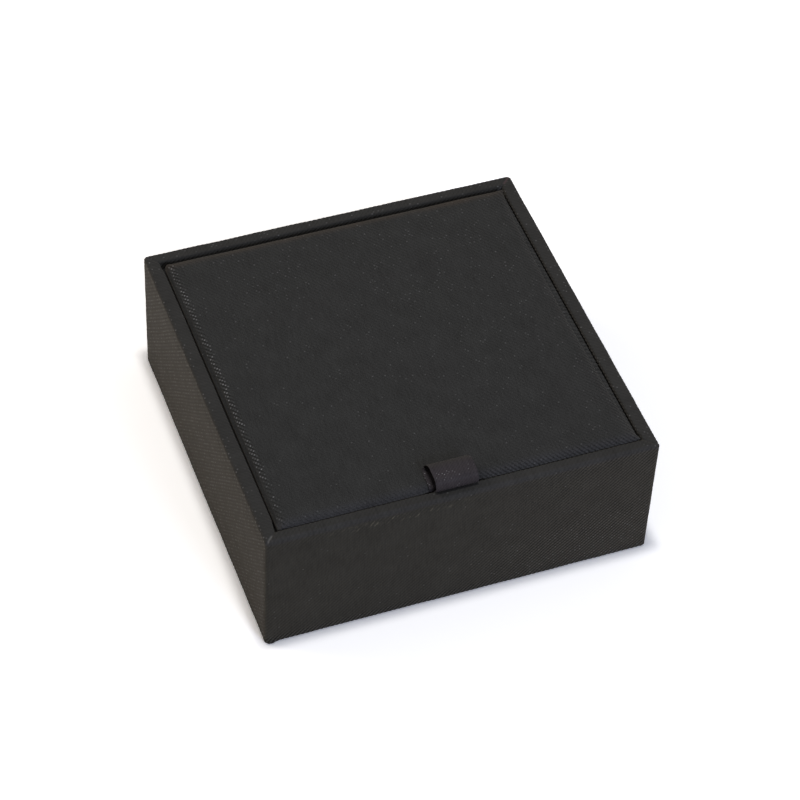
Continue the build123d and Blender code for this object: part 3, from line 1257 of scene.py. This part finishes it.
def crowned_skin(half, base, height, crown, across, down, lines, shape, thick=0.0, way=1):
    """A square pad, or the sheet over one where a thickness is given. Its height runs up from
    the base, or down from it where way is -1. Its edge is rounded off as far across and down
    as given. The lines divide its middle both ways, and the shape adds to its height there."""
    skin = Skin()
    inner = -lines[0][0]

    def rise(x, y):
        return -crown * (x * x + y * y) / half ** 2 + shape(x, y)

    def add_row(inset, level, lift, spread):
        stations = [(line + inner) / (2 * inner) for line in lines]
        size = half - inset
        corner = max(0.35 * (half - inner) - inset, 0.0)
        points = []
        threads = []
        for place, direction, *_ in ring(
            size, -size, size, corner, stations[0], stations[1], corner_columns
        ):
            x, y = place
            flat = place + direction * spread
            points.append((x, y, base + way * (level + lift * rise(x, y))))
            threads.append((flat[0], flat[1], 1.0))
        threads.append(threads[0])
        return skin.row(points, threads)

    def add_grid(level, lift, upward):
        rows = []
        for y in lines[1]:
            points = [(x, y, base + way * (level + lift * rise(x, y))) for x in lines[0]]
            threads = [(x, y, 1.0) for x in lines[0]]
            rows.append(skin.row(points, threads + threads[-1:])[:-1])
        skin.grid(rows, upward)

    def layer(inset, top):
        """The rows of one face, from the foot of its side to the edge of its middle."""
        side = top - down
        profile = [(inset, 0.0, -1.0, 0.0)]
        profile += run((inset, 0.0), (inset, side), 4, (-1.0, 0.0))[:-1]
        profile += arc((across, side), (across - inset, down), 180, 90, 6)
        profile += run((across, top), (half - inner, top), 2, (0.0, 1.0))
        return with_lengths(profile)

    outer = layer(0.0, height)
    rows = []
    for inset, level, _, _, length in outer:
        spread = outer[-1][4] - length - (outer[-1][0] - inset)
        rows.append(add_row(inset, level, smooth(level, 0.3 * height, height), spread))
    add_grid(height, 1.0, way > 0)
    if thick > 0:
        top = height - thick
        below = []
        for inset, level, *_ in reversed(layer(thick, top)):
            below.append(add_row(inset, level, smooth(level, 0.3 * height, top), 0.0))
        add_grid(top, 1.0, way < 0)
    else:
        below = [add_row(half - inner, 0.0, 0.0, 0.0)]
        add_grid(0.0, 0.0, way < 0)
    circuit = list(zip(rows, rows[1:])) + list(zip(below, below[1:])) + [(below[-1], rows[0])]
    for lower, upper in circuit:
        if way > 0:
            skin.join(lower, upper)
        else:
            skin.join(upper, lower)
    return skin


def even_lines(inner, step):
    """Lines across a square, evenly spaced, the same both ways."""
    lines = np.linspace(-inner, inner, int(2 * inner / step) + 1)
    return lines, lines


def lines_with_fine_parts(inner, step, parts):
    """Lines across a square, closer together in some parts: each is low, high and a step."""
    lines = list(np.linspace(-inner, inner, int(2 * inner / step) + 1))
    for low, high, fine in parts:
        lines = [line for line in lines if line < low - fine or line > high + fine]
        lines += list(np.linspace(low, high, int((high - low) / fine) + 1))
    return np.array(sorted(lines))


# The pad's slits, each a middle, a turn in degrees, a length, a width and a depth
pad_slits = (
    (0.0, 0.0, 0.0, 26.0, 2.0, 8.0),
    (-29.0, 29.0, 45.0, 11.0, 1.0, 5.0),
    (29.0, 29.0, -45.0, 11.0, 1.0, 5.0),
)


def slit_depth(x, y, margin):
    """How deep a slit is at a place, its lips rounded. The margin widens it all round."""
    depth = 0.0
    for middle_x, middle_y, turn, length, width, deep in pad_slits:
        along = (math.cos(math.radians(turn)), math.sin(math.radians(turn)))
        part_x, part_y = x - middle_x, y - middle_y
        reach = length / 2 - width / 2
        distance = part_x * along[0] + part_y * along[1]
        distance = min(max(distance, -reach), reach)
        away = math.hypot(part_x - distance * along[0], part_y - distance * along[1])
        away -= width / 2 + margin
        depth = max(depth, deep * (1 - smooth(away, -0.2, 0.3)))
        depth = max(depth, 0.35 * (1 - smooth(away, 0.0, 1.6)))
    return depth


pad_inner = 36.0
chain_part = (24.6, 33.4, 0.25)
back_lines = lines_with_fine_parts(pad_inner, 1.5, ((-2.4, 2.4, 0.2), chain_part))
side_lines = lines_with_fine_parts(
    pad_inner, 1.5, ((-33.4, -24.6, 0.25), (-14.2, 14.2, 0.4), chain_part)
)


def velvet_shape(x, y):
    """The velvet's slits, and the soft unevenness of foam under cloth."""
    return -slit_depth(x, y, 0.0) - 0.1 * (1 + ripple(x, y, 0, 9.0, 5.0))


def foam_shape(x, y):
    """The foam's slits, wider by the velvet that lines them."""
    return -slit_depth(x, y, velvet) - 0.1 * (1 + ripple(x, y, 0, 9.0, 5.0))


velvet_cover = crowned_skin(
    pad_half,
    base_top,
    pad_top - base_top,
    pad_crown,
    2.2,
    pad_edge,
    (side_lines, back_lines),
    velvet_shape,
    thick=velvet - 0.05,
).build("velvet_pad_cover")
velvet_cover.data.materials.append(velvet_pile)
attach(velvet_cover, "box")
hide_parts("insert_velvet")

foam_pad = crowned_skin(
    pad_half - velvet,
    card_top,
    pad_top - velvet - card_top - 0.02,
    pad_crown,
    1.9,
    pad_edge - velvet,
    (side_lines, back_lines),
    foam_shape,
).build("foam_pad")
foam_pad.data.materials.append(grey_foam)
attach(foam_pad, "box")
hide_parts("insert_foam")


def satin_shape(x, y):
    """Satin drawn over wadding: soft pulls, strongest towards its corners."""
    corner = smooth(abs(x) + abs(y), 25.0, 68.0)
    pull = ripple(x - y if x * y > 0 else x + y, 0, 0, 3.2, 1.7)
    return 0.09 * corner * pull - 0.08 * (1 + ripple(x, y, 0, 10.0, 3.3))


liner_satin = crowned_skin(
    liner_half,
    ledge_z,
    ledge_z - liner_low,
    liner_crown,
    1.6,
    0.8,
    even_lines(36.0, 0.9),
    satin_shape,
    thick=satin - 0.02,
    way=-1,
).build("lid_lining_satin")
liner_satin.data.materials.append(satin_weave)
set_tone(liner_satin, plain_tone)
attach(liner_satin, "lid")
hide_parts("lid_liner_satin")

liner_wadding = crowned_skin(
    liner_half - satin,
    liner_board_low,
    liner_board_low - liner_low - satin - 0.02,
    liner_crown,
    1.3,
    0.5,
    even_lines(36.0, 1.8),
    satin_shape,
    way=-1,
).build("liner_wadding")
liner_wadding.data.materials.append(grey_foam)
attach(liner_wadding, "lid")
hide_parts("lid_liner_wadding")


def make_lid_padding():
    """The lid's padding, cut to the board and rounded by the cloth drawn over it."""
    foot = lid_board_top + 0.01
    gap = cloth + 0.03
    side = lid_top - lid_edge_down
    profile = [(lid_grid_inset, foot, 0.0, -1.0)]
    profile += run((lid_grid_inset, foot), (lid_step + gap, foot), 3, (0.0, -1.0))
    profile += arc(
        (lid_edge_across, side + 0.02),
        (lid_edge_across - lid_step - gap, lid_edge_down - gap - 0.02),
        180,
        90,
        6,
    )
    profile += run(
        (lid_edge_across, lid_top - gap), (lid_grid_inset, lid_top - gap), 2, (0.0, 1.0)
    )
    skin = lid_outer_skin(profile, gap, lambda height, inset: False)[0]
    add_lid_grid(skin, lid_grid_inset, lambda x, y: foot, False)
    return skin.build("lid_foam_padding")


lid_padding = make_lid_padding()
lid_padding.data.materials.append(grey_foam)
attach(lid_padding, "lid")
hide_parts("lid_padding")


def make_ledge_lining():
    """Cotton lining over the ledge and down the strips, cut short at the back for the hinge."""
    foot = base_top + 0.05
    fold_round = 0.4
    inner = opening_half - lining_half
    fold = inner - fold_round
    fold_low = ledge_z - fold_round
    profile = [(0.0, ledge_z, 0.0, 1.0)]
    profile += run((0.0, ledge_z), (fold, ledge_z), 3, (0.0, 1.0))[:-1]
    profile += arc((fold, fold_low), (fold_round, fold_round), 90, 0, 4)
    profile += run((inner, fold_low), (inner, foot), 8, (1.0, 0.0))
    outer = with_lengths(profile)
    skin = Skin()
    # Besides the even stations there are two beyond each end of the hinge, where it is notched
    notch_ends = np.array((0.0297, 0.0332, 0.9668, 0.9703))
    stations = np.sort(np.append(stations_of(60), notch_ends))
    rows = []
    for inset, height, out, _, length in outer + under_layer(outer, lining - 0.03):
        size = opening_half - 0.02 - inset
        back = min(size, opening_half - 0.35)
        radius = max(0.15 - inset * 0.05, 0.05)
        points = []
        threads = []
        for place, direction, number, distance in ring(
            size, -size, back, radius, stations, stations, corner_columns
        ):
            lump = 0.04 * ripple(place[0], place[1], height, 6.0, 4.9)
            x, y = place - direction * lump * abs(out)
            # Beyond the hinge's ends it reaches the wall
            if size > back and y > 0:
                y += (size - back) * smooth(abs(x), 39.1, 39.3)
            points.append((x, y, height - 0.03 * abs(lump)))
            threads.append((2 * opening_half * number + inset + distance, length, 1.0))
        first = threads[0]
        threads.append((first[0] + 8 * opening_half, first[1], 1.0))
        rows.append(skin.row(points, threads))
    skin.join_all(rows + rows[:1])
    return skin.build("ledge_lining_cotton")


ledge_lining = make_ledge_lining()
ledge_lining.data.materials.append(lining_weave)
set_tone(ledge_lining, plain_tone)
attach(ledge_lining, "box")
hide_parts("ledge_lining")

# The boards keep their shapes, and get the finish of what they are made of
for node, material in {
    "base_board": grey_board,
    "front_wall_board": grey_board,
    "back_wall_board": grey_board,
    "left_wall_board": grey_board,
    "right_wall_board": grey_board,
    "front_ledge_strip": grey_board,
    "back_ledge_strip": grey_board,
    "left_ledge_strip": grey_board,
    "right_ledge_strip": grey_board,
    "insert_card": grey_board,
    "lid_board": grey_board,
    "lid_liner_board": grey_board,
    "base_sheet": black_paper,
}.items():
    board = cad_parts[node]
    board.data.materials.clear()
    board.data.materials.append(material)

# The camera of the photograph, fitted to the box's corners: where it stands from the box, in
# degrees, and what it looks at
camera_azimuth = -22.333
camera_elevation = 47.344
camera_roll = 3.242
camera_distance = 655.3 * mm
camera_target = Vector((2.303, 1.146, 15.073)) * mm
sensor = 36.0
focal_share = 2878.3 / 800


def direction_to(azimuth, elevation):
    """The direction from the box to a place: degrees to the right of its front, and above it."""
    azimuth, elevation = math.radians(azimuth), math.radians(elevation)
    return Vector(
        (
            math.sin(azimuth) * math.cos(elevation),
            -math.cos(azimuth) * math.cos(elevation),
            math.sin(elevation),
        )
    )


def place_camera():
    """The camera at the photograph's angle."""
    data = bpy.data.cameras.new("camera")
    data.sensor_width = sensor
    data.lens = sensor * focal_share
    data.clip_start = 0.01
    camera = bpy.data.objects.new("camera", data)
    bpy.context.scene.collection.objects.link(camera)
    back = direction_to(camera_azimuth, camera_elevation)
    level_right = Vector((0, 0, 1)).cross(back).normalized()
    level_up = back.cross(level_right)
    cosine = math.cos(math.radians(camera_roll))
    sine = math.sin(math.radians(camera_roll))
    right = cosine * level_right + sine * level_up
    up = cosine * level_up - sine * level_right
    turn = Matrix((right, up, back)).transposed().to_4x4()
    camera.matrix_world = Matrix.Translation(camera_target + back * camera_distance) @ turn
    bpy.context.scene.camera = camera


def softbox(name, azimuth, elevation, distance, size, level, colour):
    """A soft lamp that would light a white card facing it to the given level."""
    data = bpy.data.lights.new(name, "AREA")
    data.shape = "SQUARE"
    data.size = size
    data.energy = level * math.pi ** 2 * distance ** 2
    data.color = linear(colour)[:3]
    lamp = bpy.data.objects.new(name, data)
    bpy.context.scene.collection.objects.link(lamp)
    direction = direction_to(azimuth, elevation)
    lamp.location = direction * distance
    lamp.rotation_euler = direction.to_track_quat("Z", "Y").to_euler()


def white_to_the_eye(tree, lit, seen):
    """Mixes two shaders or backgrounds: seen by the camera and in reflections, and lit."""
    path = add_node(tree, "ShaderNodeLightPath").outputs
    mirrored = path["Is Camera Ray"]
    for ray in ("Is Transmission Ray", "Is Glossy Ray"):
        mirrored = add_node(
            tree, "ShaderNodeMath", {0: mirrored, 1: path[ray]}, operation="MAXIMUM"
        )
    return add_node(tree, "ShaderNodeMixShader", {0: mirrored, 1: lit, 2: seen})


def make_floor():
    """A plain pale floor. The camera sees it brightened to white, with the box's shadow."""
    mesh = bpy.data.meshes.new("floor")
    reach = 3.0
    corners = [(-reach, -reach, 0), (reach, -reach, 0), (reach, reach, 0), (-reach, reach, 0)]
    mesh.from_pydata(corners, [], [(0, 1, 2, 3)])
    floor = bpy.data.objects.new("floor", mesh)
    bpy.context.scene.collection.objects.link(floor)
    material = bpy.data.materials.new("pale_floor")
    material.use_nodes = True
    tree = material.node_tree
    tree.nodes.clear()
    lit = add_node(tree, "ShaderNodeBsdfDiffuse", {"Color": linear("#efe6d8")})
    # A diffuse surface can't be paler than white, so a second one adds the rest
    white = add_node(tree, "ShaderNodeBsdfDiffuse", {"Color": (1.0, 1.0, 1.0, 1.0)})
    more = add_node(tree, "ShaderNodeBsdfDiffuse", {"Color": (0.35, 0.35, 0.35, 1.0)})
    seen = add_node(tree, "ShaderNodeAddShader", {0: white, 1: more})
    mix = white_to_the_eye(tree, lit, seen)
    add_node(tree, "ShaderNodeOutputMaterial", {0: mix})
    mesh.materials.append(material)


def make_world():
    """An even, pale surround, white where the camera sees it."""
    world = bpy.data.worlds.new("studio")
    world.use_nodes = True
    tree = world.node_tree
    tree.nodes.clear()
    lit = add_node(tree, "ShaderNodeBackground", {"Color": linear("#fbfbff"), "Strength": 0.31})
    seen = add_node(tree, "ShaderNodeBackground", {"Color": (1.0, 1.0, 1.0, 1.0)})
    mix = white_to_the_eye(tree, lit, seen)
    add_node(tree, "ShaderNodeOutputWorld", {0: mix})
    bpy.context.scene.world = world


place_camera()
softbox("top_softbox", -45, 88.6, 0.8, 0.075, 0.38, "#fffdfa")
softbox("front_softbox", 15, 25, 0.9, 0.3, 0.4, "#e0e8ff")
softbox("left_softbox", -130, 32, 0.8, 0.45, 0.3, "#fff3e6")
make_floor()
make_world()
bpy.context.scene.view_settings.view_transform = "Standard"
